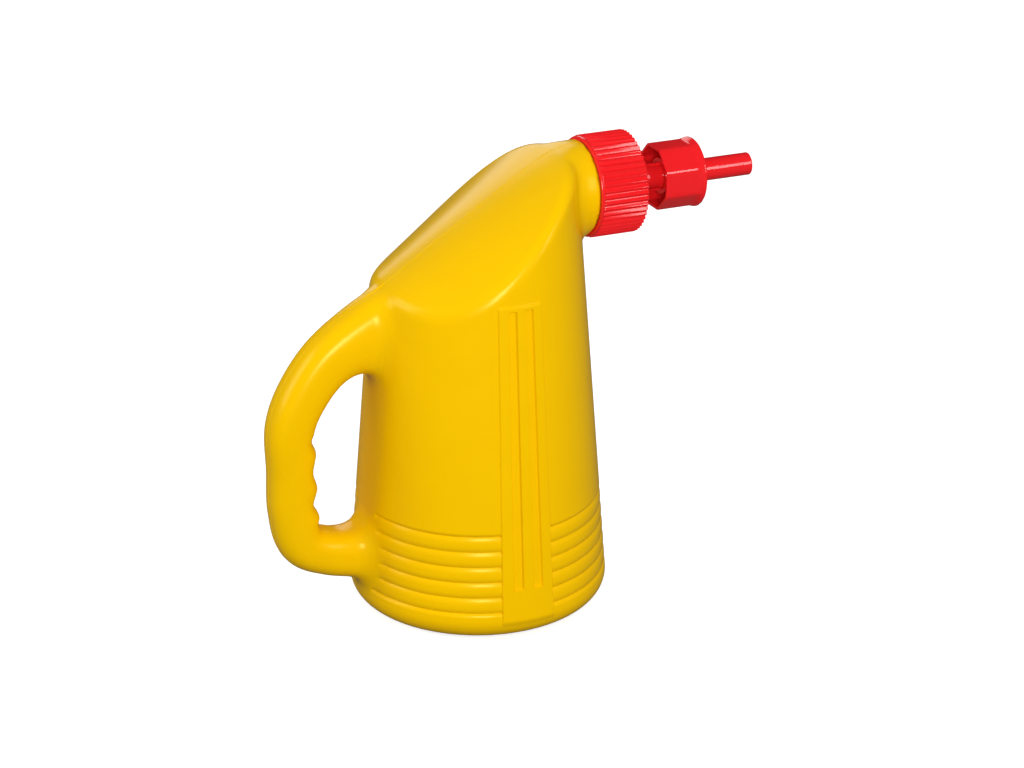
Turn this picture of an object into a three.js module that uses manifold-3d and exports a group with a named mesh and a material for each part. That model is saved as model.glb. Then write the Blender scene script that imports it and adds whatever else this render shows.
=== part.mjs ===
// Filling jug for topping up battery cells with distilled water.
// A blow-moulded jug with its own hollow handle and a level neck, closed by a screw cap.
// The cap's stem carries a sliding nozzle, which opens a spring-loaded valve when it is pressed on a cell.
// Millimetres, +Z up, +X the way the nozzle points. Modelled about the upright axis of the jug's round foot.

import * as THREE from 'three';
import { mergeVertices } from 'three/addons/utils/BufferGeometryUtils.js';
import Module from 'manifold-3d';

// Clearances
const SEAT_GAP = 0.3; // between faces that rest on each other
const RUNNING_GAP = 0.35; // between faces that slide or screw along each other

// Jug: a cone standing on its rounded foot
const WALL = 1.8;
const BODY_RADIUS = 66; // of the cone at RADIUS_LEVEL
const RADIUS_LEVEL = 37;
const CONE_TAPER = 0.0787; // radius lost for each millimetre of height
const FOOT_ROUNDING = 12;
const RING_WIDTH = 9; // flat standing ring
const BASE_RISE = 4; // dish inside the standing ring
const DISH_SLANT = 11; // width of the dish's sloping edge

// Jug: the slanting roof, which levels out at the neck's top
const ROOF_HEIGHT = 212.9; // of its middle line above the foot's centre
const ROOF_SLOPE = 0.665;
const ROOF_LEVELLING = 3.66; // how gently the slope turns level
const ROOF_CROWN = 0.00625; // drop to each side, per millimetre squared
const CROWN_FADE = 0.000059; // how much flatter the crown gets towards the neck, per millimetre
const SIDE_ROUNDING = 8; // of the shoulder's edge at the sides
const FRONT_ROUNDING = 12; // of the shoulder's edge at the neck
const FRONT_FOCUS = 4; // how narrowly the front rounding keeps to the neck

// Jug: ribbed band
const RIB_BOTTOM = 16;
const RIB_PITCH = 8.35;
const RIB_COUNT = 5;
const RIB_DEPTH = 1;
const RIB_LIP = 1.3; // height in which the cone drops into the band's first and last groove

// Jug: raised upright panel on the near side, with two sunk channels
const PANEL_HALF_ANGLE = 12.03; // degrees round the jug's axis
const PANEL_BOTTOM = 9;
const PANEL_TOP = 178;
const PANEL_RISE = 0.8;
const CHANNEL_BOTTOM = 28;
const CHANNEL_HEAD = 2.5; // of panel left above a channel
const CHANNEL_DEPTH = 1;
const CHANNEL_ANGLE = 4.3; // width, degrees
const CHANNEL_SPACING = 4.9; // between the channels, degrees

// Jug: handle
const GRIP_REACH = 103.6; // from the jug's axis to the grip's middle
const GRIP_DEPTH = 23.6; // thickness seen from the side
const GRIP_WIDTH = 26;
const GRIP_LOW = 62;
const GRIP_HIGH = 107;
const LOWER_ARM_HEIGHT = 36.5;
const UPPER_ARM_HEIGHT = 142.3; // of the upper arm's middle where it turns into the grip
const UPPER_ARM_SLOPE = 0.44;
const LOWER_ARM_SLOPE = 0.19;
const ARM_RUN = 50; // from an arm's bend to its end inside the jug
const UPPER_BEND = 22; // width of the bend between the upper arm and the grip
const LOWER_BEND = 17.6;
const BEND_SHARE = 0.28; // how far towards the arm the middle of a bend lies
const ROOT_FLARE = 12; // extra depth of an arm inside the jug
const ROOT_SPREAD = 6; // extra width of an arm inside the jug
const UPPER_STATIONS = [[1, 1], [0.6, 1], [0, 0.3]]; // shares of the arm's run and of its flare
const LOWER_STATIONS = [[0, 0], [0.35, 0.25], [0.7, 0.5]];
const FINGER_PITCH = 18.4;
const FINGER_DEPTH = 1.1;
const GRIP_SQUARENESS = 2.6; // 2 is an ellipse, more is squarer

// Neck, mouth and screw thread
const NECK_HEIGHT = 215.5; // of the neck's axis
const NECK_RADIUS = 24.6;
const NECK_REACH = 57.4; // from the jug's axis to the front of the neck's collar
const NECK_FLARE = 12; // how much wider the neck's root is where it runs into the shoulder
const NECK_COLLAR = 4; // straight length of the neck behind the cap
const MOUTH_ROOT = 5.4; // length of the mouth sunk in the neck
const MOUTH_RADIUS = 21.6; // outside of the threaded mouth
const MOUTH_BORE = 19.6;
const MOUTH_BEVEL = 0.6;
const THREAD_PITCH = 4.2;
const THREAD_HEIGHT = 1.5;
const THREAD_ROOT = 2; // width of a ridge at its root
const THREAD_CREST = 1;
const THREAD_SUNK = 0.3; // share of its height by which a ridge is sunk in its wall, and left at its ends
const MOUTH_TURNS = 2.5;
const CAP_TURNS = 1.5;

// Screw cap
const CAP_LENGTH = 26.2;
const CAP_PLATE = 2.2;
const CAP_WALL = 2;
const CAP_LIP = 1.6; // plain rim behind the teeth
const TOOTH_COUNT = 52;
const TOOTH_HEIGHT = 1.15;
const TOOTH_OUTLINE = [[0, 0], [0.2, 0], [0.45, 1], [0.75, 1]]; // shares of the pitch and of the height
const WASHER_THICKNESS = 1.6;
const WASHER_HOLE = 16.5; // radius

// Stem of the cap, with the valve inside it
const STEM_RADIUS = 6.4;
const STEM_BORE = 5;
const SEAT_TUBE_LENGTH = 3.2;
const SEAT_TUBE_BORE = 2.8;
const SEAT_FLANGE_RADIUS = 8;
const SEAT_FLANGE_THICKNESS = 1.2;
const SPRING_LENGTH = 16.2;
const SPRING_RADIUS = 3.5; // to the middle of the wire
const WIRE_RADIUS = 0.35;
const SPRING_TURNS = 6;
const CLOSED_TURNS = 1.2; // wound flat, both ends together
const CLOSED_SQUEEZE = 0.98; // keeps the closed turns just apart
const HEAD_RADIUS = 3.9;
const HEAD_THICKNESS = 1.7;
const SPIGOT_RADIUS = 2.5; // centres the spring on the valve's head
const SPIGOT_LENGTH = 2;
const PIN_RADIUS = 1.4;
const SEAL_THICKNESS = 1.5;
const VALVE_BORE = 2.8;
const VALVE_WALL = 3.7;
const COLLAR_WIDTH = 5.3;
const COLLAR_RADIUS = 7.6;
const COLLAR_RIM = 1; // of collar left in front of the ring's groove
const RING_SECTION = 0.95; // radius of the O-ring's round section
const KEY_WIDTH = 2;
const KEY_HEIGHT = 1;

// Spout
const SPOUT_TRAVEL = 8;
const SPOUT_SPARE = 1.2; // room left in front of the stem when the spout is pressed fully in
const GUIDE_WALL = 1.5;
const GUIDE_LIP = 1.3; // width of the lip that hooks behind the stem's collar
const SLEEVE_LENGTH = 22.7;
const SLEEVE_FLATS = 33; // across flats
const SLEEVE_WALL = 1.5;
const FLANGE_RADIUS = 18.3;
const FLANGE_THICKNESS = 2.8;
const FLARE_LENGTH = 5; // in which the eight sides run out into the round flange
const FLARE_SHAPE = [[1, 0], [0.5, 0.4], [0.2, 1], [0, 1]]; // share of the length left, and how round it is there
const NOZZLE_RADIUS = 5.95;
const NOZZLE_BORE = 4.3;
const NOZZLE_LENGTH = 32.8;
const NOZZLE_FILLET = 1.4;
const FILLET_SAG = 0.3;
const WEB_THICKNESS = 2; // of the bar across the nozzle's bore that pushes the pin

// Faceting
const BODY_STEPS = 42;
const INSIDE_STEPS = 26;
const HANDLE_STEPS = 16;
const HANDLE_INSIDE_STEPS = 10;
const HANDLE_RINGS = 34;
const ROUND_STEPS = 32;
const WIRE_STEPS = 10; // each turn
const WIRE_SIDES = 5;
const RING_SIDES = 8;
const SMALL_STEPS = 20;
const SLEEVE_STEPS = 40; // a multiple of eight
const THREAD_STEPS = 22; // each turn
const ARC_STEPS = 4;
const ROOF_ROWS = 4;
const NECK_ROWS = 5;
const RIB_ROWS = [0, 0.14, 0.5, 0.86]; // where a rib is measured, as shares of the pitch
const RIB_INSIDE_ROWS = [0, 0.5];
const SLAB_STEP = 4; // degrees
const EDGE_PASSES = 20; // of the search for the height at which the wall meets the roof

// Places along the neck's axis, from the jug's axis outwards
const capRear = NECK_REACH + SEAT_GAP;
const capFront = capRear + CAP_LENGTH;
const plateRear = capFront - CAP_PLATE;
const washerRear = plateRear - SEAT_GAP - WASHER_THICKNESS;
const mouthFront = washerRear - SEAT_GAP;
const seatTubeFront = plateRear + SEAT_TUBE_LENGTH;
const springRear = seatTubeFront + SEAT_GAP;
const springFront = springRear + SPRING_LENGTH;
const headRear = springFront + SEAT_GAP;
const headFront = headRear + HEAD_THICKNESS;
const sealRear = headFront + SEAT_GAP;
const sealFront = sealRear + SEAL_THICKNESS;
const valveFace = sealFront + SEAT_GAP;
const stemFront = valveFace + VALVE_WALL;
const collarRear = stemFront - COLLAR_WIDTH;
const grooveFront = stemFront - COLLAR_RIM;
const grooveRear = grooveFront - 2 * (RING_SECTION + SEAT_GAP);
const guideLipFront = collarRear - SEAT_GAP;
const guideRear = guideLipFront - GUIDE_LIP;
const chamberFront = stemFront + SPOUT_TRAVEL + SPOUT_SPARE;
const flangeFront = chamberFront + FLANGE_THICKNESS;
const sleeveRear = flangeFront - SLEEVE_LENGTH;
const nozzleFront = flangeFront + NOZZLE_LENGTH;
const pinFront = chamberFront - SEAT_GAP;
const webFront = chamberFront + WEB_THICKNESS;

// Radii that fit round their neighbours
const capBore = MOUTH_RADIUS + THREAD_HEIGHT + RUNNING_GAP;
const capRadius = capBore + CAP_WALL;
const guideBore = COLLAR_RADIUS + RUNNING_GAP;
const guideRadius = guideBore + GUIDE_WALL;
const lipBore = STEM_RADIUS + RUNNING_GAP;
const grooveRoot = guideBore - 2 * (RING_SECTION + SEAT_GAP);
const threadRear = capRear + CAP_LIP + THREAD_PITCH;

const wasm = await Module();
wasm.setup();

// Solids

// Turns a closed geometry into a solid with its faces pointing out.
function solid(geometry) {
  geometry.deleteAttribute('normal');
  geometry.deleteAttribute('uv');
  const merged = mergeVertices(geometry, 1e-4);
  const points = merged.attributes.position;
  const faces = [];
  for (let i = 0; i < merged.index.count; i += 3) {
    const [a, b, c] = [0, 1, 2].map((k) => merged.index.getX(i + k));
    if (a !== b && b !== c && c !== a) faces.push(a, b, c);
  }
  if (signedVolume(points, faces) < 0) faces.reverse();
  const vertProperties = new Float32Array(points.array);
  const triVerts = new Uint32Array(faces);
  return new wasm.Manifold(new wasm.Mesh({ numProp: 3, vertProperties, triVerts }));
}

function signedVolume(points, faces) {
  const corner = (i) => new THREE.Vector3().fromBufferAttribute(points, faces[i]);
  let volume = 0;
  for (let i = 0; i < faces.length; i += 3) {
    volume += corner(i).dot(corner(i + 1).cross(corner(i + 2))) / 6;
  }
  return volume;
}

// Builds a named mesh from a solid.
function piece(name, body, material) {
  const { vertProperties, triVerts } = body.getMesh();
  const geometry = new THREE.BufferGeometry();
  geometry.setAttribute('position', new THREE.BufferAttribute(vertProperties, 3));
  geometry.setIndex(new THREE.BufferAttribute(triVerts, 1));
  geometry.computeVertexNormals();
  const mesh = new THREE.Mesh(geometry, material);
  mesh.name = name;
  return mesh;
}

function join(first, ...others) {
  return others.reduce((whole, other) => whole.add(other), first);
}

function cut(first, ...others) {
  return others.reduce((whole, other) => whole.subtract(other), first);
}

// Skins closed rings of equal count, in order, and closes both ends.
function loft(rings) {
  const count = rings[0].length;
  const middles = [rings[0], rings.at(-1)].map((ring) => {
    const sum = ring.reduce((total, point) => total.add(point), new THREE.Vector3());
    return sum.divideScalar(count);
  });
  const points = [...rings.flat(), ...middles];
  const [firstMiddle, lastMiddle] = [points.length - 2, points.length - 1];
  const lastRing = (rings.length - 1) * count;
  const faces = [];
  for (let j = 0; j < count; j += 1) {
    const k = (j + 1) % count;
    faces.push(firstMiddle, k, j);
    faces.push(lastMiddle, lastRing + j, lastRing + k);
    for (let i = 0; i < lastRing; i += count) {
      faces.push(i + j, i + k, i + count + k);
      faces.push(i + j, i + count + k, i + count + j);
    }
  }
  const geometry = new THREE.BufferGeometry().setFromPoints(points);
  geometry.setIndex(faces);
  return solid(geometry);
}

// Turns an outline of [place along X, radius] pairs about the X axis.
function revolve(outline, steps = ROUND_STEPS) {
  const points = outline.map(([place, radius]) => new THREE.Vector2(radius, place));
  points.push(points[0].clone());
  return solid(new THREE.LatheGeometry(points, steps).rotateZ(-Math.PI / 2));
}

// A plain cylinder along X.
function rod(rear, front, radius, steps = ROUND_STEPS) {
  return revolve([[rear, 0], [rear, radius], [front, radius], [front, 0]], steps);
}

// A plain tube along X.
function tube(rear, front, bore, radius, steps = ROUND_STEPS) {
  return revolve([[rear, bore], [rear, radius], [front, radius], [front, bore]], steps);
}

function block(rear, front, depth, height) {
  return solid(new THREE.BoxGeometry(front - rear, depth, height).translate((rear + front) / 2, 0, 0));
}

// A point on a ring about the X axis, its angle taken from +Y towards +Z.
function ringPoint(place, radius, angle) {
  return new THREE.Vector3(place, radius * Math.cos(angle), radius * Math.sin(angle));
}

// A screw ridge about the X axis that rises from root to crest and runs out at both ends.
function screwRidge(rear, turns, root, crest) {
  const steps = Math.round(turns * THREAD_STEPS);
  const rings = [];
  for (let i = 0; i <= steps; i += 1) {
    const angle = (2 * Math.PI * i) / THREAD_STEPS;
    const place = rear + (THREAD_PITCH * i) / THREAD_STEPS;
    const runOut = i === 0 || i === steps ? THREAD_SUNK : 1;
    const top = root + (crest - root) * runOut;
    const sunk = root - (crest - root) * THREAD_SUNK;
    rings.push([
      ringPoint(place - THREAD_ROOT / 2, sunk, angle),
      ringPoint(place - THREAD_CREST / 2, top, angle),
      ringPoint(place + THREAD_CREST / 2, top, angle),
      ringPoint(place + THREAD_ROOT / 2, sunk, angle),
    ]);
  }
  return loft(rings);
}

// Jug

function coneRadius(height) {
  return BODY_RADIUS - CONE_TAPER * (height - RADIUS_LEVEL);
}

// How far the ribbed band lies under the cone: rounded ribs between narrow grooves.
function ribDrop(height) {
  const place = (height - RIB_BOTTOM) / RIB_PITCH;
  if (place < 0 || place > RIB_COUNT) return 0;
  const across = 2 * (place - Math.floor(place)) - 1;
  return RIB_DEPTH * (1 - Math.sqrt(1 - across * across));
}

// Height of the roof's middle line, which slopes up and turns level at the neck's top.
function ridgeHeight(x) {
  const slope = ROOF_HEIGHT + ROOF_SLOPE * x;
  const level = NECK_HEIGHT + NECK_RADIUS + ROOF_LEVELLING / 2;
  return (slope + level) / 2 - Math.hypot((slope - level) / 2, ROOF_LEVELLING);
}

function roofHeight(x, y) {
  return ridgeHeight(x) - (ROOF_CROWN - CROWN_FADE * x) * y * y;
}

// One upright line of the body's skin, from the middle of the base to the middle of the roof.
function bodyColumn(angle, inset) {
  const [c, s] = [Math.cos(angle), Math.sin(angle)];
  const roofInset = inset * Math.hypot(1, ROOF_SLOPE);
  const roof = (radius) => roofHeight(radius * c, radius * s) - roofInset;
  const column = [];
  const put = (radius, height) => column.push(new THREE.Vector3(radius * c, radius * s, height));

  const ringOuter = coneRadius(FOOT_ROUNDING) - FOOT_ROUNDING;
  put(ringOuter - RING_WIDTH - DISH_SLANT, BASE_RISE + inset);
  put(ringOuter - RING_WIDTH, inset);
  for (let i = 0; i <= ARC_STEPS; i += 1) {
    const turn = (Math.PI / 2) * (i / ARC_STEPS);
    const reach = FOOT_ROUNDING - inset;
    put(ringOuter + reach * Math.sin(turn), FOOT_ROUNDING - reach * Math.cos(turn));
  }

  const wall = (height) => put(coneRadius(height) - ribDrop(height) - inset, height);
  wall(RIB_BOTTOM - RIB_LIP);
  const ribRows = inset > 0 ? RIB_INSIDE_ROWS : RIB_ROWS;
  for (let i = 0; i < RIB_COUNT; i += 1) {
    ribRows.forEach((share) => wall(RIB_BOTTOM + (i + share) * RIB_PITCH));
  }
  const ribTop = RIB_BOTTOM + RIB_COUNT * RIB_PITCH;
  wall(ribTop);
  wall(ribTop + RIB_LIP);

  let edge = ROOF_HEIGHT;
  for (let i = 0; i < EDGE_PASSES; i += 1) edge = roof(coneRadius(edge) - inset);
  const edgeRadius = coneRadius(edge) - inset;
  const towardsNeck = Math.max(0, c) ** FRONT_FOCUS;
  const rounding = THREE.MathUtils.lerp(SIDE_ROUNDING, FRONT_ROUNDING, towardsNeck) - inset;
  const low = new THREE.Vector2(coneRadius(edge - rounding) - inset, edge - rounding);
  const high = new THREE.Vector2(edgeRadius - rounding, roof(edgeRadius - rounding));
  for (let i = 1; i < ARC_STEPS; i += 1) {
    wall(THREE.MathUtils.lerp(ribTop + RIB_LIP, low.y, i / ARC_STEPS));
  }
  const corner = new THREE.Vector2(edgeRadius, edge);
  const curve = new THREE.QuadraticBezierCurve(low, corner, high);
  curve.getPoints(ARC_STEPS).forEach((point) => put(point.x, point.y));
  for (let i = ROOF_ROWS - 1; i > 0; i -= 1) {
    const radius = (high.x * i) / ROOF_ROWS;
    put(radius, roof(radius));
  }
  return column;
}

function bodySkin(inset, steps) {
  const columns = [];
  for (let i = 0; i < steps; i += 1) columns.push(bodyColumn((2 * Math.PI * i) / steps, inset));
  return loft(columns[0].map((_, row) => columns.map((column) => column[row])));
}

// The handle's course in the jug's middle plane, as [X, Z, depth, width] from the upper root to the lower one.
function handleStations() {
  const upperTurn = GRIP_REACH - UPPER_BEND;
  const lowerTurn = GRIP_REACH - LOWER_BEND;
  const upperArm = ([run, flare]) => [
    -upperTurn + run * ARM_RUN,
    UPPER_ARM_HEIGHT + run * ARM_RUN * UPPER_ARM_SLOPE,
    GRIP_DEPTH + flare * ROOT_FLARE,
    GRIP_WIDTH + run * ROOT_SPREAD,
  ];
  const lowerArm = ([run, flare]) => [
    -lowerTurn + run * ARM_RUN,
    LOWER_ARM_HEIGHT - run * ARM_RUN * LOWER_ARM_SLOPE,
    GRIP_DEPTH + flare * ROOT_FLARE,
    GRIP_WIDTH + run * ROOT_SPREAD,
  ];
  const grip = (height) => [-GRIP_REACH, height, GRIP_DEPTH, GRIP_WIDTH];
  const upperBend = GRIP_HIGH + (1 - BEND_SHARE) * UPPER_BEND;
  const lowerBend = LOWER_ARM_HEIGHT + BEND_SHARE * (GRIP_LOW - LOWER_ARM_HEIGHT);
  return [
    ...UPPER_STATIONS.map(upperArm),
    [-GRIP_REACH + BEND_SHARE * UPPER_BEND, upperBend, GRIP_DEPTH, GRIP_WIDTH],
    grip(GRIP_HIGH),
    grip((GRIP_HIGH + GRIP_LOW) / 2),
    grip(GRIP_LOW),
    [-GRIP_REACH + BEND_SHARE * LOWER_BEND, lowerBend, GRIP_DEPTH, GRIP_WIDTH],
    ...LOWER_STATIONS.map(lowerArm),
  ];
}

// Depth of the finger hollows on the grip's inner side at a height.
function fingerDrop(height) {
  if (height < GRIP_LOW - FINGER_PITCH / 4 || height > GRIP_HIGH) return 0;
  return FINGER_DEPTH * Math.cos((2 * Math.PI * (height - (GRIP_LOW + GRIP_HIGH) / 2)) / FINGER_PITCH);
}

function handleSkin(inset, steps) {
  const stations = handleStations();
  const course = new THREE.CatmullRomCurve3(stations.map(([x, z]) => new THREE.Vector3(x, 0, z)));
  const sizes = new THREE.CatmullRomCurve3(stations.map((s) => new THREE.Vector3(s[2], s[3], 0)));
  const rings = [];
  for (let i = 0; i <= HANDLE_RINGS; i += 1) {
    const middle = course.getPoint(i / HANDLE_RINGS);
    const along = course.getTangent(i / HANDLE_RINGS);
    const inward = new THREE.Vector3(-along.z, 0, along.x);
    const size = sizes.getPoint(i / HANDLE_RINGS);
    const ring = [];
    for (let j = 0; j < steps; j += 1) {
      const turn = (2 * Math.PI * j) / steps;
      const [c, s] = [Math.cos(turn), Math.sin(turn)];
      const swell = (Math.abs(c) ** GRIP_SQUARENESS + Math.abs(s) ** GRIP_SQUARENESS) ** (-1 / GRIP_SQUARENESS);
      const depth = (size.x / 2 - inset) * swell * c - fingerDrop(middle.z) * Math.max(0, c);
      const point = middle.clone().addScaledVector(inward, depth);
      point.y += (size.y / 2 - inset) * swell * s;
      ring.push(point);
    }
    rings.push(ring);
  }
  return loft(rings);
}

// The neck from inside the shoulder to its collar. Its top follows the roof and its sides flare into the shoulder.
function neckSkin(inset) {
  const root = NECK_REACH - NECK_RADIUS;
  const front = NECK_REACH - inset;
  const bottom = NECK_HEIGHT - NECK_RADIUS + inset;
  const straight = NECK_REACH - NECK_COLLAR;
  const rings = [];
  for (let i = 0; i <= NECK_ROWS; i += 1) {
    const place = THREE.MathUtils.lerp(root, front, i / NECK_ROWS);
    const top = Math.min(ridgeHeight(place), NECK_HEIGHT + NECK_RADIUS) - inset;
    const back = Math.max(0, straight - place) / (straight - root);
    const half = NECK_RADIUS - inset + NECK_FLARE * back ** 2;
    const ring = [];
    for (let j = 0; j < ROUND_STEPS; j += 1) {
      const point = ringPoint(place, 1, (2 * Math.PI * j) / ROUND_STEPS);
      point.y *= half;
      point.z = (top + bottom) / 2 + (point.z * (top - bottom)) / 2;
      ring.push(point);
    }
    rings.push(ring);
  }
  return loft(rings);
}

// A curved slab on the cone's near side, between two angles and two distances from the cone.
function coneSlab(fromAngle, toAngle, bottom, top, under, over) {
  const corners = [[under, bottom], [over, bottom], [over, top], [under, top]];
  const steps = Math.max(2, Math.round((toAngle - fromAngle) / SLAB_STEP));
  const rings = [];
  for (let i = 0; i <= steps; i += 1) {
    const turn = THREE.MathUtils.degToRad(THREE.MathUtils.lerp(fromAngle, toAngle, i / steps) - 90);
    rings.push(corners.map(([offset, height]) => {
      const radius = coneRadius(height) + offset;
      return new THREE.Vector3(radius * Math.cos(turn), radius * Math.sin(turn), height);
    }));
  }
  return loft(rings);
}

function sidePanel() {
  const sunk = -(RIB_DEPTH + WALL) / 2;
  const face = coneSlab(-PANEL_HALF_ANGLE, PANEL_HALF_ANGLE, PANEL_BOTTOM, PANEL_TOP, sunk, PANEL_RISE);
  const inner = CHANNEL_SPACING / 2;
  const outer = inner + CHANNEL_ANGLE;
  const top = PANEL_TOP - CHANNEL_HEAD;
  const floor = PANEL_RISE - CHANNEL_DEPTH;
  const channels = [[-outer, -inner], [inner, outer]].map(([from, to]) => (
    coneSlab(from, to, CHANNEL_BOTTOM, top, floor, PANEL_RISE + CHANNEL_DEPTH)
  ));
  return { face, channels };
}

function threadedMouth() {
  const sunk = NECK_REACH - MOUTH_ROOT;
  const rim = MOUTH_RADIUS - MOUTH_BEVEL;
  const core = revolve([
    [sunk, 0], [sunk, MOUTH_RADIUS], [mouthFront - MOUTH_BEVEL, MOUTH_RADIUS], [mouthFront, rim], [mouthFront, 0],
  ]);
  return join(core, screwRidge(threadRear, MOUTH_TURNS, MOUTH_RADIUS, MOUTH_RADIUS + THREAD_HEIGHT));
}

function jugBody() {
  const panel = sidePanel();
  const lift = [0, 0, NECK_HEIGHT];
  const outside = join(
    bodySkin(0, BODY_STEPS), handleSkin(0, HANDLE_STEPS), neckSkin(0), threadedMouth().translate(lift), panel.face,
  );
  const bore = rod(NECK_REACH - MOUTH_ROOT, mouthFront + MOUTH_BEVEL, MOUTH_BORE).translate(lift);
  const inside = join(bodySkin(WALL, INSIDE_STEPS), handleSkin(WALL, HANDLE_INSIDE_STEPS), neckSkin(WALL), bore);
  return cut(outside, ...panel.channels, inside);
}

// Cap and what it carries, all about the neck's axis

function toothedRim() {
  const shape = new THREE.Shape();
  const pitch = (2 * Math.PI) / TOOTH_COUNT;
  for (let i = 0; i < TOOTH_COUNT; i += 1) {
    TOOTH_OUTLINE.forEach(([share, height], k) => {
      const angle = (i + share) * pitch;
      const radius = capRadius + height * TOOTH_HEIGHT;
      const [x, y] = [radius * Math.cos(angle), radius * Math.sin(angle)];
      if (i === 0 && k === 0) shape.moveTo(x, y);
      else shape.lineTo(x, y);
    });
  }
  const extrusion = new THREE.ExtrudeGeometry(shape, { depth: CAP_LENGTH - CAP_LIP, bevelEnabled: false });
  return solid(extrusion.rotateY(Math.PI / 2).translate(capRear + CAP_LIP, 0, 0));
}

// Two keys that keep the spout from turning on the stem, or the slots for them when a clearance is given.
function stemKeys(rear, front, clearance) {
  const reach = 2 * (STEM_RADIUS + KEY_HEIGHT + clearance);
  return block(rear, front, KEY_WIDTH + 2 * clearance, reach);
}

function screwCap() {
  const skirt = join(toothedRim(), rod(capRear, capRear + CAP_LIP, capRadius + TOOTH_HEIGHT / 2));
  const shell = cut(skirt, rod(capRear - CAP_LIP, plateRear, capBore));
  const root = plateRear + CAP_PLATE / 2;
  const stem = join(
    rod(root, stemFront, STEM_RADIUS),
    rod(collarRear, stemFront, COLLAR_RADIUS),
    stemKeys(root, collarRear + RING_SECTION, 0),
  );
  const groove = tube(grooveRear, grooveFront, grooveRoot, COLLAR_RADIUS + RING_SECTION);
  const bore = rod(plateRear - CAP_PLATE, valveFace, STEM_BORE);
  const valveBore = rod(valveFace - SEAL_THICKNESS, stemFront + SEAL_THICKNESS, VALVE_BORE);
  const ridge = screwRidge(threadRear + THREAD_PITCH / 2, CAP_TURNS, capBore, capBore - THREAD_HEIGHT);
  return join(cut(join(shell, stem), groove, bore, valveBore), ridge);
}

function capWasher() {
  return tube(washerRear, washerRear + WASHER_THICKNESS, WASHER_HOLE, capBore - SEAT_GAP);
}

function springSeat() {
  const flangeFront = plateRear - SEAT_GAP;
  const flangeRear = flangeFront - SEAT_FLANGE_THICKNESS;
  const radius = STEM_BORE - SEAT_GAP;
  return revolve([
    [flangeRear, SEAT_TUBE_BORE], [flangeRear, SEAT_FLANGE_RADIUS], [flangeFront, SEAT_FLANGE_RADIUS],
    [flangeFront, radius], [seatTubeFront, radius], [seatTubeFront, SEAT_TUBE_BORE],
  ], SMALL_STEPS);
}

// The wire's turns lie flat against each other's planes at both ends, as on a ground spring.
function returnSpring() {
  const steps = SPRING_TURNS * WIRE_STEPS;
  const closed = CLOSED_TURNS / SPRING_TURNS;
  const flatLength = 2 * WIRE_RADIUS * CLOSED_TURNS;
  const rings = [];
  for (let i = 0; i <= steps; i += 1) {
    const share = i / steps;
    const angle = 2 * Math.PI * SPRING_TURNS * share;
    const rise = THREE.MathUtils.clamp((share - closed / 2) / (1 - closed), 0, 1);
    const flat = (share - rise) * 2 * WIRE_RADIUS * SPRING_TURNS;
    const span = SPRING_LENGTH - 2 * WIRE_RADIUS - flatLength;
    const place = springRear + WIRE_RADIUS + rise * span + flat + flatLength;
    const ring = [];
    for (let j = 0; j < WIRE_SIDES; j += 1) {
      const turn = (2 * Math.PI * j) / WIRE_SIDES;
      const across = WIRE_RADIUS * CLOSED_SQUEEZE * Math.sin(turn);
      ring.push(ringPoint(place + across, SPRING_RADIUS + WIRE_RADIUS * Math.cos(turn), angle));
    }
    rings.push(ring);
  }
  return loft(rings);
}

function valvePin() {
  return revolve([
    [headRear - SPIGOT_LENGTH, 0], [headRear - SPIGOT_LENGTH, SPIGOT_RADIUS], [headRear, SPIGOT_RADIUS],
    [headRear, HEAD_RADIUS], [headFront, HEAD_RADIUS], [headFront, PIN_RADIUS], [pinFront, PIN_RADIUS], [pinFront, 0],
  ], SMALL_STEPS);
}

function valveSeal() {
  return tube(sealRear, sealFront, PIN_RADIUS + SEAT_GAP, HEAD_RADIUS, SMALL_STEPS);
}

function stemRing() {
  const outline = [];
  const middle = grooveRoot + SEAT_GAP + RING_SECTION;
  for (let i = 0; i < RING_SIDES; i += 1) {
    const turn = (2 * Math.PI * i) / RING_SIDES;
    outline.push([
      (grooveRear + grooveFront) / 2 + RING_SECTION * Math.cos(turn), middle + RING_SECTION * Math.sin(turn),
    ]);
  }
  return revolve(outline, SMALL_STEPS);
}

// A ring of the sleeve's outline: eight flats, or a circle, or something between the two.
function sleeveRing(place, halfFlats, roundness, roundRadius) {
  const ring = [];
  const eighth = Math.PI / 4;
  for (let j = 0; j < SLEEVE_STEPS; j += 1) {
    const angle = (2 * Math.PI * (j + 0.5)) / SLEEVE_STEPS;
    const offFlat = angle - Math.round(angle / eighth) * eighth;
    const flatRadius = halfFlats / Math.cos(offFlat);
    ring.push(ringPoint(place, THREE.MathUtils.lerp(flatRadius, roundRadius, roundness), angle));
  }
  return ring;
}

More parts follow.
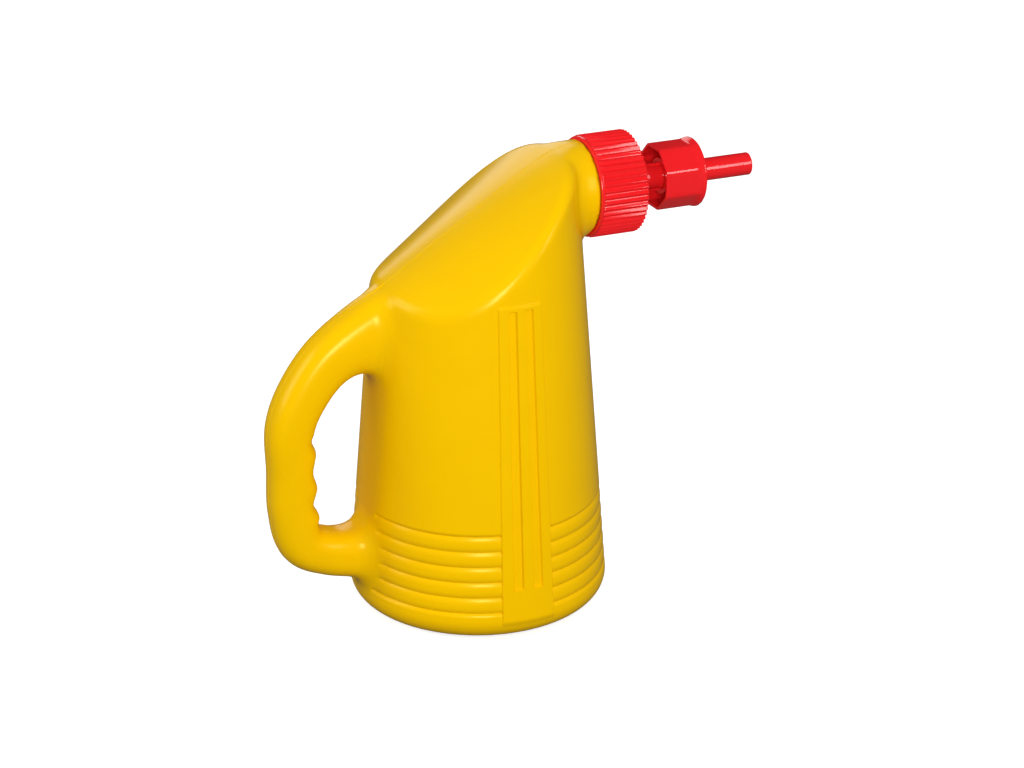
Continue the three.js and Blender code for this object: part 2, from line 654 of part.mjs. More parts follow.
function spout() {
  const half = SLEEVE_FLATS / 2;
  const outside = loft([
    sleeveRing(sleeveRear, half, 0, FLANGE_RADIUS),
    ...FLARE_SHAPE.map(([left, roundness]) => (
      sleeveRing(flangeFront - left * FLARE_LENGTH, half, roundness, FLANGE_RADIUS)
    )),
  ]);
  const innerFlats = half - SLEEVE_WALL;
  const hollow = loft([
    sleeveRing(sleeveRear - SLEEVE_WALL, innerFlats, 0, FLANGE_RADIUS),
    sleeveRing(chamberFront, innerFlats, 0, FLANGE_RADIUS),
  ]);
  const guide = rod(guideRear, chamberFront + FLANGE_THICKNESS / 2, guideRadius);
  const nozzle = revolve([
    [chamberFront + FLANGE_THICKNESS / 2, 0],
    [chamberFront + FLANGE_THICKNESS / 2, NOZZLE_RADIUS + NOZZLE_FILLET],
    [flangeFront, NOZZLE_RADIUS + NOZZLE_FILLET],
    [flangeFront + NOZZLE_FILLET * FILLET_SAG, NOZZLE_RADIUS + NOZZLE_FILLET * FILLET_SAG],
    [flangeFront + NOZZLE_FILLET, NOZZLE_RADIUS],
    [nozzleFront, NOZZLE_RADIUS],
    [nozzleFront, 0],
  ], SMALL_STEPS);
  const chamber = rod(guideLipFront, chamberFront, guideBore);
  const lip = rod(guideRear - GUIDE_LIP, guideLipFront + GUIDE_LIP, lipBore);
  const slots = stemKeys(guideRear - GUIDE_LIP, guideLipFront + GUIDE_LIP, RUNNING_GAP);
  const bore = rod(chamberFront - FLANGE_THICKNESS, nozzleFront + NOZZLE_FILLET, NOZZLE_BORE, SMALL_STEPS);
  const web = block(chamberFront, webFront, NOZZLE_BORE / 2, 2 * NOZZLE_BORE + NOZZLE_FILLET);
  return join(cut(join(cut(outside, hollow), guide, nozzle), chamber, lip, slots, bore), web);
}

// Assembly

function plastic(color, roughness) {
  return new THREE.MeshStandardMaterial({ color, roughness, metalness: 0 });
}

const jugPlastic = plastic(0xf6c102, 0.35);
const capPlastic = plastic(0xf02a30, 0.3);
const valvePlastic = plastic(0xe9e6dc, 0.4);
const rubber = plastic(0x26262a, 0.7);
const steel = new THREE.MeshStandardMaterial({ color: 0xb9bcc0, roughness: 0.3, metalness: 1 });

const neckAxis = new THREE.Group();
neckAxis.position.z = NECK_HEIGHT;
neckAxis.add(
  piece('cap_washer', capWasher(), rubber),
  piece('screw_cap', screwCap(), capPlastic),
  piece('spring_seat', springSeat(), valvePlastic),
  piece('return_spring', returnSpring(), steel),
  piece('valve_pin', valvePin(), valvePlastic),
  piece('valve_seal', valveSeal(), rubber),
  piece('stem_ring', stemRing(), rubber),
  piece('spout', spout(), capPlastic),
);

// The origin lies on the table, under the middle of the whole jug.
const jug = new THREE.Group();
jug.add(piece('jug_body', jugBody(), jugPlastic), neckAxis);
const extent = new THREE.Box3().setFromObject(jug, true);
jug.position.x = -(extent.min.x + extent.max.x) / 2;
jug.updateMatrixWorld(true);

export default jug;
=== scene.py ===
"""Looks of the filling jug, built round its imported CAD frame.

Lengths are millimetres about the jug's own upright axis until a mesh is made,
which shifts them into the frame.
"""

import itertools
import math

import bmesh
import bpy
import numpy as np
from mathutils import Matrix, Vector


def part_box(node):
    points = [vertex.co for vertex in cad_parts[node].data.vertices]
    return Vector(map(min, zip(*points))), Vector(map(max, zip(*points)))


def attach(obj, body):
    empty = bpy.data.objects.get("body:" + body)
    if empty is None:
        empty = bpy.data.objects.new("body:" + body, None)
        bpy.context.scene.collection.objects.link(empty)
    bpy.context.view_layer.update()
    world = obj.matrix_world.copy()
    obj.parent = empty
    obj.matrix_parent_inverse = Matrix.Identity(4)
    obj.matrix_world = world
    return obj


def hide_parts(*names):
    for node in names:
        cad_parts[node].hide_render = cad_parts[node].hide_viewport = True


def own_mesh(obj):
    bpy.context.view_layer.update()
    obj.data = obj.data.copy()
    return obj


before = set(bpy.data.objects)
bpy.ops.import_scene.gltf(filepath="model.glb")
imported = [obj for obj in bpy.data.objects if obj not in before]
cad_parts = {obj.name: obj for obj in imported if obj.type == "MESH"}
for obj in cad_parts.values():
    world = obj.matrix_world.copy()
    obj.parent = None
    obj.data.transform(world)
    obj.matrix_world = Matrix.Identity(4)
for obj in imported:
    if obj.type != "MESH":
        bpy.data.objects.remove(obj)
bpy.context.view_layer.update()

# Jug body
BODY_RADIUS = 65.78
RADIUS_LEVEL = 37.0
CONE_TAPER = 0.0787
FOOT_ROUNDING = 12.0
RING_WIDTH = 9.0
BASE_RISE = 4.0
DISH_SLANT = 11.0
ROOF_HEIGHT = 212.9
ROOF_SLOPE = 0.665
ROOF_LEVELLING = 3.66
ROOF_CROWN = 0.00625
CROWN_FADE = 0.000059
SIDE_ROUNDING = 5.0
FRONT_ROUNDING = 12.0
FRONT_FOCUS = 4
WALL = 1.8
MOULD_REACH = 122.0
MOULD_BOTTOM = -2.0
MOULD_HEIGHT = 243.0

# Ribs and side panel, raised on the plain cone
RIB_BOTTOM = 16.0
RIB_PITCH = 8.35
RIB_COUNT = 5
RIB_DEPTH = 1.0
RIB_POWER = 2.8
RIB_END = 12.0
RIB_FADE = 1.5
PANEL_MIDDLE = -90.0
PANEL_HALF_ANGLE = 12.03
PANEL_BOTTOM = 9.0
PANEL_TOP = 178.0
PANEL_RISE = 0.8
CHANNEL_BOTTOM = 28.0
CHANNEL_TOP = 175.5
CHANNEL_DEPTH = 1.1
CHANNEL_INNER = 2.45
CHANNEL_OUTER = 6.75
EDGE_ANGLE = 0.35
EDGE_LENGTH = 0.5
RELIEF_DEPTH = 0.5

# Handle: middle line as [X, Z, depth, width]
HANDLE_COURSE = np.array([
    [-31.6, 164.3, 35.6, 32.0],
    [-51.6, 156.5, 37.6, 29.6],
    [-81.6, 142.3, 27.2, 26.0],
    [-97.4, 122.8, 24.4, 26.0],
    [-103.4, 107.0, 23.6, 26.0],
    [-103.4, 84.5, 23.6, 26.0],
    [-103.4, 62.0, 23.6, 26.0],
    [-98.7, 43.6, 23.8, 26.0],
    [-86.0, 36.5, 24.0, 26.0],
    [-68.5, 33.2, 26.6, 28.1],
    [-51.0, 29.9, 29.6, 30.2],
])
COURSE_SAMPLES = 48
GRIP_SQUARENESS = 2.6
GRIP_LOW = 62.0
GRIP_HIGH = 107.0
FINGER_PITCH = 18.4
FINGER_DEPTH = 1.3
FINGER_FADE = 4.0
FINGER_SPARE = 2.0
HANDLE_BLEND = 13.0

# Neck and mouth
NECK_HEIGHT = 215.5
NECK_RADIUS = 24.6
NECK_REACH = 57.4
NECK_FLARE = 12.0
NECK_COLLAR = 4.0
NECK_EDGE = 1.2
NECK_SINK = 0.3
NECK_SOFTNESS = 1.5
NECK_START = 52.0
NECK_DIVE = 0.015
NECK_BLEND = 7.0
MOUTH_RADIUS = 21.6
MOUTH_BORE = 19.6
MOUTH_FRONT = 79.5
MOUTH_REAR = 51.0

# Screw thread of mouth and cap
THREAD_PITCH = 4.2
THREAD_HEIGHT = 1.5
THREAD_REAR = 63.5
THREAD_HALF_ROOT = 1.0
THREAD_FLANK = 0.5
THREAD_RUN_OUT = 1 / 6
THREAD_COLUMNS = 96
THREAD_ROW_STEP = 0.35
MOUTH_TURNS = 2.5
CAP_TURNS = 1.5
CAP_ROW_STEP = 0.3
CAP_THREAD_SPARE = 1.4
CAP_THREAD_PROUD = 0.02

# Mould's parting line: its section as (across, up), and where it runs
SEAM_SECTION = [(-0.6, -0.3), (-0.3, 0.1), (0.0, 0.16), (0.3, 0.1), (0.6, -0.3)]
SEAM_REAR = -50.0
SEAM_ROOF_POINTS = 70
SEAM_BACK_START = 61
SEAM_BACK_STEP = 4

# Settling of points on a field: how upright a wall is kept straight, and the longest step
UPRIGHT_SHARE = 0.85
LONGEST_STEP = 3.0

# Cap
CAP_REAR = 57.7
CAP_FRONT = 83.9
CAP_RADIUS = 25.45
CAP_BORE = 23.45
CAP_LIP = 1.6
CAP_PLATE = 2.2
TOOTH_COUNT = 52
TOOTH_HEIGHT = 1.15
TOOTH_SHARES = [0.0, 0.08, 0.16, 0.3, 0.44, 0.49, 0.54, 0.59, 0.73, 0.87]
TOOTH_LEVELS = [0.0, 0.06, 0.22, 0.56, 0.9, 0.99, 1.0, 0.92, 0.56, 0.22]
STEM_RADIUS = 6.4
STEM_FRONT = 109.2
STEM_BORE = 5.0
VALVE_FACE = 105.5
VALVE_BORE = 2.8
COLLAR_REAR = 103.9
COLLAR_RADIUS = 7.6
GROOVE_REAR = 105.7
GROOVE_FRONT = 108.2
GROOVE_ROOT = 5.45
KEY_WIDTH = 2.0
KEY_REACH = 7.4
KEY_FRONT = 104.8
KEY_ROOT = 0.6
BOX_BEVEL = 0.15
FACE_RING = 12.0

# Return spring
SPRING_REAR = 85.2
SPRING_LENGTH = 16.2
SPRING_RADIUS = 3.5
SPRING_TURNS = 6
SPRING_SAMPLES = 36
CLOSED_TURNS = 1.2
WIRE_RADIUS = 0.34
WIRE_SIDES = 10

# Spout
SLEEVE_REAR = 98.5
SLEEVE_FLATS = 16.5
SLEEVE_WALL = 1.5
SLEEVE_CORNER = 0.35
SLEEVE_BEVEL = 0.25
CORNER_SHARES = [-0.5, -0.475, -0.44, -0.3, 0, 0.3, 0.44, 0.475]
FLANGE_RADIUS = 18.24
FLANGE_FRONT = 121.2
FLARE_LENGTH = 5.0
CHAMBER_FRONT = 118.4
GUIDE_REAR = 102.3
GUIDE_LIP_FRONT = 103.6
GUIDE_BORE = 7.95
GUIDE_RADIUS = 9.45
GUIDE_FILLET = 0.6
LIP_BORE = 6.75
NOZZLE_RADIUS = 5.95
NOZZLE_BORE = 4.3
NOZZLE_FRONT = 154.0
NOZZLE_FILLET = 1.4
WEB_THICKNESS = 2.0
WEB_ROOT = 0.5

# Camera, found from the photograph: place in metres about the jug's axis
CAMERA_X = -0.5144
CAMERA_Y = -1.2156
CAMERA_Z = 0.6727
CAMERA_DIRECTION = (0.3705, 0.8435, -0.389)
CAMERA_ROLL = 0.21
CAMERA_LENS = 97.156

# Area lights: name, place and target in metres, width and height, power
LIGHTS = [
    ("main", (-0.54, -1.5, 0.68), (0, 0, 0.14), (0.45, 0.45), 15.5),
    ("right_box", (0.8, -1.38, 0.8), (0, 0, 0.2), (0.36, 0.8), 6),
    ("back", (0.2, 1.5, 0.8), (0, 0, 0.14), (0.8, 0.8), 3.5),
    ("left_side", (-1.45, 0.4, 0.8), (0, 0, 0.14), (0.8, 0.8), 8),
]

# World and floor levels, for light, mirrored light and what the camera sees
WORLD_LEVEL = 0.46
MIRROR_LEVEL = 0.02
WHITE_LEVEL = 1.05
FLOOR_HALF_SIZE = 3.0
FLOOR_LIFT = 0.6
FLOOR_GREY = 0.8
FLOOR_BOUNCE = 0.12

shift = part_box("jug_body")[1][0] * 1000 - MOUTH_FRONT


# Meshes

def mesh_object(name, points, faces, body, sharp=35):
    """A smooth-shaded mesh from millimetre points that rides on a body."""
    mesh = bpy.data.meshes.new(name)
    placed = (np.asarray(points, float) + [shift, 0, 0]) / 1000
    mesh.from_pydata(placed.tolist(), [], faces)
    mesh.polygons.foreach_set("use_smooth", [True] * len(mesh.polygons))
    mesh.set_sharp_from_angle(angle=math.radians(sharp))
    mesh.update()
    piece = bpy.data.objects.new(name, mesh)
    bpy.context.scene.collection.objects.link(piece)
    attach(piece, body)
    return piece


def loft_faces(rows, columns, closed):
    """Quads between rings of points; closed also joins the last ring to the first."""
    grid = np.arange(rows * columns).reshape(rows, columns)
    if closed:
        grid = np.vstack([grid, grid[:1]])
    across = np.roll(grid, -1, axis=1)
    quads = np.stack([grid[:-1], across[:-1], across[1:], grid[1:]], axis=-1)
    return quads.reshape(-1, 4).tolist()


def loft(name, rings, body, sharp=35):
    """A closed skin through rings, the last of which joins the first."""
    faces = loft_faces(len(rings), len(rings[0]), True)
    return mesh_object(name, np.vstack(rings), faces, body, sharp)


def around_neck(place, radius, angles):
    """Points of a ring about the neck's axis; place and radius may vary along the ring."""
    place = np.broadcast_to(place, angles.shape)
    side, height = radius * np.cos(angles), NECK_HEIGHT + radius * np.sin(angles)
    return np.stack([place, side, height], axis=-1)


# Forms of the jug as fields: negative inside, about the distance in millimetres

def cone_radius(z):
    return BODY_RADIUS - CONE_TAPER * (z - RADIUS_LEVEL)


def parabolic_max(a, b, width):
    overlap = np.maximum(width - np.abs(a - b), 0)
    return np.maximum(a, b) + overlap ** 2 / (4 * width)


def round_max(a, b, radius):
    a, b = a + radius, b + radius
    return np.hypot(np.maximum(a, 0), np.maximum(b, 0)) + np.minimum(np.maximum(a, b), 0) - radius


def wall_field(x, y, z):
    return (np.hypot(x, y) - cone_radius(z)) / math.hypot(1, CONE_TAPER)


def ridge(x):
    """Height and slope of the roof's middle line, which turns level at the neck's top."""
    level = NECK_HEIGHT + NECK_RADIUS + ROOF_LEVELLING / 2
    half = (ROOF_HEIGHT + ROOF_SLOPE * x - level) / 2
    reach = np.hypot(half, ROOF_LEVELLING)
    return level + half - reach, ROOF_SLOPE / 2 * (1 - half / reach)


def roof_field(x, y, z):
    """The roof, and the part of its slope that faces away from the jug's axis."""
    height, slope = ridge(x)
    crown = ROOF_CROWN - CROWN_FADE * x
    steepness = np.sqrt(1 + slope ** 2 + (2 * crown * y) ** 2)
    radius = np.maximum(np.hypot(x, y), 1e-6)
    facing = (2 * crown * y ** 2 - slope * x) / (radius * steepness)
    return (z - height + crown * y ** 2) / steepness, facing


def body_field(x, y, z):
    radius = np.maximum(np.hypot(x, y), 1e-6)
    roof, facing = roof_field(x, y, z)
    forward = np.maximum(x / radius, 0) ** FRONT_FOCUS
    rounding = SIDE_ROUNDING + (FRONT_ROUNDING - SIDE_ROUNDING) * forward
    shell = parabolic_max(wall_field(x, y, z), roof, rounding * np.sqrt(1 - facing ** 2))
    ring_inner = cone_radius(FOOT_ROUNDING) - FOOT_ROUNDING - RING_WIDTH
    dish = BASE_RISE * np.clip((ring_inner - radius) / DISH_SLANT, 0, 1)
    return round_max(shell, dish - z, FOOT_ROUNDING)


def neck_field(x, y, z):
    """A tube that widens across towards its root and stays just under the roof."""
    root = NECK_REACH - NECK_RADIUS
    straight = NECK_REACH - NECK_COLLAR
    back = np.clip((straight - x) / (straight - root), 0, 1)
    squeeze = NECK_RADIUS / (NECK_RADIUS + NECK_FLARE * back ** 2)
    tube = np.hypot(y * squeeze, z - NECK_HEIGHT) - NECK_RADIUS
    dive = NECK_DIVE * np.maximum(NECK_START - x, 0) ** 2
    under_roof = roof_field(x, y, z)[0] + NECK_SINK + dive
    return round_max(parabolic_max(tube, under_roof, NECK_SOFTNESS), x - NECK_REACH, NECK_EDGE)


def spline(stations, samples):
    """Centripetal spline through the stations, evenly sampled in each span."""
    ends = [2 * stations[0] - stations[1], 2 * stations[-1] - stations[-2]]
    knots = np.vstack([ends[:1], stations, ends[1:]])
    share = np.linspace(0, 1, samples, endpoint=False)[:, None]
    line = []
    for p0, p1, p2, p3 in zip(knots, knots[1:], knots[2:], knots[3:]):
        t0, t1, t2 = [math.sqrt(math.dist(a[:2], b[:2])) for a, b in ((p0, p1), (p1, p2), (p2, p3))]
        leave = t1 * ((p1 - p0) / t0 - (p2 - p0) / (t0 + t1)) + p2 - p1
        arrive = t1 * ((p3 - p2) / t2 - (p3 - p1) / (t1 + t2)) + p2 - p1
        line.append(
            p1 + leave * share + (3 * (p2 - p1) - 2 * leave - arrive) * share ** 2
            + (2 * (p1 - p2) + leave + arrive) * share ** 3
        )
    return np.vstack(line + [stations[-1:]])


def unit(vectors):
    return vectors / np.maximum(np.linalg.norm(vectors, axis=-1, keepdims=True), 1e-9)


def finger_drop(z):
    wave = np.cos(2 * math.pi * (z - (GRIP_LOW + GRIP_HIGH) / 2) / FINGER_PITCH)
    room = np.minimum(z - GRIP_LOW + FINGER_PITCH / 2, GRIP_HIGH + FINGER_SPARE - z)
    return FINGER_DEPTH * wave * np.clip(room / FINGER_FADE, 0, 1)


# The handle's sizes are looked up in a table over the middle plane, one row a millimetre

COURSE = spline(HANDLE_COURSE, COURSE_SAMPLES)
TABLE_X = np.arange(-124.0, 2.0, 1.0)
TABLE_Z = np.arange(-6.0, 232.0, 1.0)


def handle_table():
    """Distance from the handle's middle line, and its half depth and half width there."""
    x, z = np.meshgrid(TABLE_X, TABLE_Z, indexing="ij")
    distance = np.hypot(x[..., None] - COURSE[:, 0], z[..., None] - COURSE[:, 1])
    nearest = distance.argmin(axis=-1)
    along = unit(np.gradient(COURSE[:, :2], axis=0))
    inward = np.stack([-along[:, 1], along[:, 0]], axis=1)
    near = COURSE[nearest]
    side = (x - near[..., 0]) * inward[nearest, 0] + (z - near[..., 1]) * inward[nearest, 1]
    drop = finger_drop(near[..., 1]) * np.clip(side / (near[..., 2] / 2), 0, 1)
    return np.stack([distance.min(axis=-1), near[..., 2] / 2 - drop, near[..., 3] / 2], axis=-1)


HANDLE_TABLE = handle_table()


def handle_sizes(x, z):
    """Rows of the handle's table, read between its places."""
    i = np.clip(x - TABLE_X[0], 0, len(TABLE_X) - 1.001)
    k = np.clip(z - TABLE_Z[0], 0, len(TABLE_Z) - 1.001)
    i0, k0 = i.astype(int), k.astype(int)
    past_i, past_k = (i - i0)[..., None], (k - k0)[..., None]
    low = HANDLE_TABLE[i0, k0] * (1 - past_i) + HANDLE_TABLE[i0 + 1, k0] * past_i
    high = HANDLE_TABLE[i0, k0 + 1] * (1 - past_i) + HANDLE_TABLE[i0 + 1, k0 + 1] * past_i
    return np.moveaxis(low * (1 - past_k) + high * past_k, -1, 0)


def handle_field(x, y, z):
    """A bar whose section lies between an ellipse and a rectangle."""
    distance, half_depth, half_width = handle_sizes(x, z)
    depth, width = distance / half_depth, np.abs(y) / half_width
    share = (depth ** GRIP_SQUARENESS + width ** GRIP_SQUARENESS) ** (1 / GRIP_SQUARENESS)
    share = np.maximum(share, 1e-3)
    return np.hypot(distance, y) * (share - 1) / share


def slope_of(field, x, y, z, step=0.05):
    here = field(x, y, z)
    steps = [field(x + step, y, z), field(x, y + step, z), field(x, y, z + step)]
    return np.stack([(value - here) / step for value in steps], axis=-1)


def blended(first, second, width):
    """Union of two fields with a fillet that fades out where their surfaces run alike."""
    def field(x, y, z):
        a, b = first(x, y, z), second(x, y, z)
        near = (np.abs(a) < width) & (np.abs(b) < width)
        if not near.any():
            return np.minimum(a, b)
        place = x[near], y[near], z[near]
        alike = (unit(slope_of(first, *place)) * unit(slope_of(second, *place))).sum(axis=-1)
        fillet = np.full(a.shape, 1e-3)
        fillet[near] = np.maximum(width * np.clip(1 - alike, 0, 1), 1e-3)
        return -parabolic_max(-a, -b, fillet)
    return field


jug_field = blended(blended(body_field, neck_field, NECK_BLEND), handle_field, HANDLE_BLEND)


# Relief of the wall, at angles in degrees round the jug's axis from the neck

def smooth_step(value, edge, width):
    share = np.clip((value - edge) / width + 0.5, 0, 1)
    return share * share * (3 - 2 * share)


def rib_depth(angle, z):
    """Depth of the grooves between the ribs, which fade out above, below and at the handle."""
    top = RIB_BOTTOM + RIB_PITCH * RIB_COUNT
    place = np.clip((z - RIB_BOTTOM) / RIB_PITCH, 0, RIB_COUNT - 1e-9)
    across = 2 * (place - np.floor(place)) - 1
    ribs = RIB_DEPTH * np.abs(across) ** RIB_POWER
    ribs = np.where(z < RIB_BOTTOM, RIB_DEPTH * np.clip(1 - (RIB_BOTTOM - z) / RIB_FADE, 0, 1), ribs)
    ribs = np.where(z > top, RIB_DEPTH * np.clip(1 - (z - top) / RIB_FADE, 0, 1), ribs)
    return ribs * smooth_step(180 - np.abs(angle), RIB_END, RIB_FADE)


def relief(angle, z):
    """How far the wall stands out of the plain cone: panel up, grooves and channels down."""
    off = np.abs(angle - PANEL_MIDDLE)
    panel = smooth_step(PANEL_HALF_ANGLE - off, 0, EDGE_ANGLE * 2)
    panel *= smooth_step(z, PANEL_BOTTOM, EDGE_LENGTH * 2)
    panel *= smooth_step(-z, -PANEL_TOP, EDGE_LENGTH * 2)
    channel = smooth_step(off, CHANNEL_INNER, EDGE_ANGLE)
    channel *= smooth_step(-off, -CHANNEL_OUTER, EDGE_ANGLE)
    channel *= smooth_step(z, CHANNEL_BOTTOM, EDGE_LENGTH)
    channel *= smooth_step(-z, -CHANNEL_TOP, EDGE_LENGTH)
    return PANEL_RISE * panel - rib_depth(angle, z) * (1 - panel) - CHANNEL_DEPTH * channel


# Skin of a field on a grid of radii, angles and heights

def spaced(marks, least):
    """Sorted marks without those that follow another too closely."""
    marks = np.unique(np.round(marks, 4))
    return marks[np.concatenate([[True], np.diff(marks) > least])]


def lines(*spans):
    """Grid lines of several (start, end, step) spans, which may overlap."""
    rows = [np.linspace(a, b, max(2, round((b - a) / step) + 1)) for a, b, step in spans]
    return spaced(np.concatenate(rows), 0.01)


def on_axis(row, axis):
    """A row of values set along one of a grid's three axes."""
    return np.reshape(row, [-1 if n == axis else 1 for n in range(3)])


def edge_ends(axis, columns):
    """Slices for the two ends of every grid edge along an axis; columns cuts the angles."""
    low, high = [slice(None), columns, slice(None)], [slice(None), columns, slice(None)]
    low[axis], high[axis] = slice(None, -1), slice(1, None)
    return tuple(low), tuple(high)


def cell_middles(values, coordinates):
    """Which grid cells the surface crosses, and the mean of its crossings with their edges."""
    inside = values < 0
    shape = tuple(len(row) - 1 for row in coordinates)
    total = np.zeros((*shape, 4))
    for axis in range(3):
        low, high = edge_ends(axis, slice(None))
        crossed = inside[low] != inside[high]
        share = np.where(crossed, values[low] / np.where(crossed, values[low] - values[high], 1), 0)
        places = [np.broadcast_to(on_axis(row, n), values.shape)[low] for n, row in enumerate(coordinates)]
        places[axis] = places[axis] + share * on_axis(np.diff(coordinates[axis]), axis)
        others = [n for n in range(3) if n != axis]
        for first, second in ((0, 0), (0, 1), (1, 0), (1, 1)):
            pick = [slice(0, n) for n in shape]
            pick[others[0]] = slice(first, first + shape[others[0]])
            pick[others[1]] = slice(second, second + shape[others[1]])
            weight = crossed[tuple(pick)]
            for n in range(3):
                total[..., n] += np.where(weight, places[n][tuple(pick)], 0)
            total[..., 3] += weight
    active = total[..., 3] > 0
    return active, total[active][:, :3] / total[active][:, 3:]


def crossing_quads(inside, active):
    """A quad of neighbouring cells round every grid edge that the surface crosses."""
    shape = active.shape
    cell = np.full(shape, -1)
    cell[active] = np.arange(active.sum())
    quads = []
    for axis, (u, v) in enumerate([(1, 2), (2, 0), (0, 1)]):
        low, high = [inside[ends] for ends in edge_ends(axis, slice(None, -1))]
        for crossing, order in ((low & ~high, (0, 1, 2, 3)), (high & ~low, (3, 2, 1, 0))):
            index = np.argwhere(crossing)
            for n in (u, v):
                if n != 1:
                    index = index[(index[:, n] > 0) & (index[:, n] < shape[n])]
            corners = []
            for du, dv in ((1, 1), (0, 1), (0, 0), (1, 0)):
                place = index.copy()
                place[:, u] -= du
                place[:, v] -= dv
                place[:, 1] %= shape[1]
                corners.append(cell[place[:, 0], place[:, 1], place[:, 2]])
            quads.append(np.stack([corners[n] for n in order], axis=-1))
    return np.vstack(quads)


def grid_skin(field, radii, angles, heights):
    """Surface-net skin of a field: points as radius, angle (radians) and height, and quads."""
    turns = np.radians(angles)
    r, t, h = np.meshgrid(radii, turns, heights, indexing="ij")
    values = field(r * np.cos(t), r * np.sin(t), h)
    values = np.concatenate([values, values[:, :1]], axis=1)
    turns = np.append(turns, turns[0] + 2 * math.pi)
    active, middle = cell_middles(values, [radii, turns, heights])
    return middle, crossing_quads(values < 0, active)


def outward_from_axis(turn):
    return np.stack([np.cos(turn), np.sin(turn), np.zeros_like(turn)], axis=-1)


def settle(field, middle, passes=4):
    """Moves cylindrical points onto the field's surface, straight outwards where it stands upright."""
    radius, turn, z = middle.T
    outward = outward_from_axis(turn)
    points = outward * radius[:, None]
    points[:, 2] = z
    for _ in range(passes):
        place = points.T
        value = field(*place)
        slope = slope_of(field, *place)
        upright = (unit(slope) * outward).sum(axis=-1) > UPRIGHT_SHARE
        along = np.where(upright[:, None], outward, slope)
        step = value / np.maximum((slope * along).sum(axis=-1), 1e-3)
        points -= along * np.clip(step, -LONGEST_STEP, LONGEST_STEP)[:, None]
    return points


def add_relief(points, turn):
    """Raises points by the relief where they lie on the cone's wall."""
    on_wall = np.clip(1 - np.abs(wall_field(*points.T)) / RELIEF_DEPTH, 0, 1)
    rise = relief((np.degrees(turn) + 180) % 360 - 180, points[:, 2])
    points += outward_from_axis(turn) * (rise * on_wall)[:, None]


def skin_piece(name, field, grid, opening, raised=False, inward=False):
    """A field's skin without the faces in its opening, closed at the grid's axis."""
    middle, quads = grid_skin(field, *grid)
    points = settle(field, middle)
    if raised:
        add_relief(points, middle[:, 1])
    quads = quads[~opening(points[quads].mean(axis=1))]
    if inward:
        quads = quads[:, ::-1]
    piece = mesh_object(name, points, quads.tolist(), "jug")
    close_axis_holes(piece.data)
    return piece


def close_axis_holes(mesh, reach=4.0):
    """Fills the two small rings that the grid leaves round the jug's axis."""
    shell = bmesh.new()
    shell.from_mesh(mesh)
    near = [edge for edge in shell.edges if edge.is_boundary and all(
        math.hypot(v.co.x - shift / 1000, v.co.y) < reach / 1000 for v in edge.verts)]
    filled = bmesh.ops.holes_fill(shell, edges=near, sides=0)
    bmesh.ops.triangulate(shell, faces=filled["faces"])
    shell.to_mesh(mesh)
    shell.free()


def neck_opening(reach, rim=1.0, depth=2.0):
    """Faces across the end of the neck, where the mouth's tube stands."""
    def inside(points):
        radius = np.hypot(points[:, 1], points[:, 2] - NECK_HEIGHT)
        return (radius < MOUTH_RADIUS - rim) & (points[:, 0] > reach - depth)
    return inside


def skin_angles():
    """Columns of the jug's grid from -106 degrees round, finer at the panel and the handle."""
    edges = [PANEL_HALF_ANGLE, CHANNEL_INNER, CHANNEL_OUTER]
    middles = [PANEL_MIDDLE + side * edge for edge in edges for side in (-1, 1)]
    fine = [(at - 0.7, at + 0.7, 0.14) for at in middles]
    angles = lines(
        (-37, 37, 1.5), (37, 76, 2.1), (105, 163, 2.1), (163, 197, 0.7), (197, 254, 2.1),
        (-106, -74, 0.9), (-74, -37, 2.1), (76, 105, 2.1), *fine,
    )
    return spaced((angles + 106) % 360 - 106, 0.05)


def skin_heights():
    """Rows of the jug's grid, thirteen to each rib and fine at the panel's top."""
    groove = RIB_PITCH / 13
    rib_rows = (RIB_BOTTOM - 6.5 * groove, RIB_BOTTOM + 72.5 * groove, groove)
    return lines(
        (MOULD_BOTTOM, -0.6, 1.4), (-0.6, 12.2, 1.1), rib_rows, (63.5, PANEL_TOP - 4, 2.4),
        (PANEL_TOP - 3.8, PANEL_TOP + 1.2, 0.3), (PANEL_TOP + 2, MOULD_HEIGHT, 1.5),
    )


def jug_skin():
    radii = lines((0, 44, 2.6), (44, 70, 1.7), (70, MOULD_REACH, 2.2))
    grid = radii, skin_angles(), skin_heights()
    return skin_piece("jug_skin", jug_field, grid, neck_opening(NECK_REACH), raised=True)


def jug_inside():
    """The inner wall, seen only through the mouth, on a coarser grid."""
    def inner(x, y, z):
        return jug_field(x, y, z) + WALL
    grid = lines((0, MOULD_REACH, 4)), lines((-180, 176, 4)), lines((MOULD_BOTTOM, MOULD_HEIGHT, 3.5))
    return skin_piece("jug_inside", inner, grid, neck_opening(NECK_REACH - WALL), inward=True)


def screw_height(turn, place, start, turns):
    """How far a screw ridge stands up, from 0 to 1, at a turn (0 to 2 pi) and a place along the neck."""
    height = np.zeros(np.broadcast(turn, place).shape)
    for lap in range(math.ceil(turns) + 1):
        run = lap + turn / (2 * math.pi)
        off = np.abs(place - start - THREAD_PITCH * run)
        end = np.clip(np.minimum(run, turns - run) / THREAD_RUN_OUT, 0, 1)
        height = np.maximum(height, np.clip((THREAD_HALF_ROOT - off) / THREAD_FLANK, 0, 1) * end)
    return height


def screw_rings(places, radius, height, start, turns):
    """Rings of a tube with a screw ridge; a negative height stands up inwards."""
    angles = np.linspace(0, 2 * math.pi, THREAD_COLUMNS, endpoint=False)
    return [around_neck(place, radius + height * screw_height(angles, place, start, turns), angles)
            for place in places]


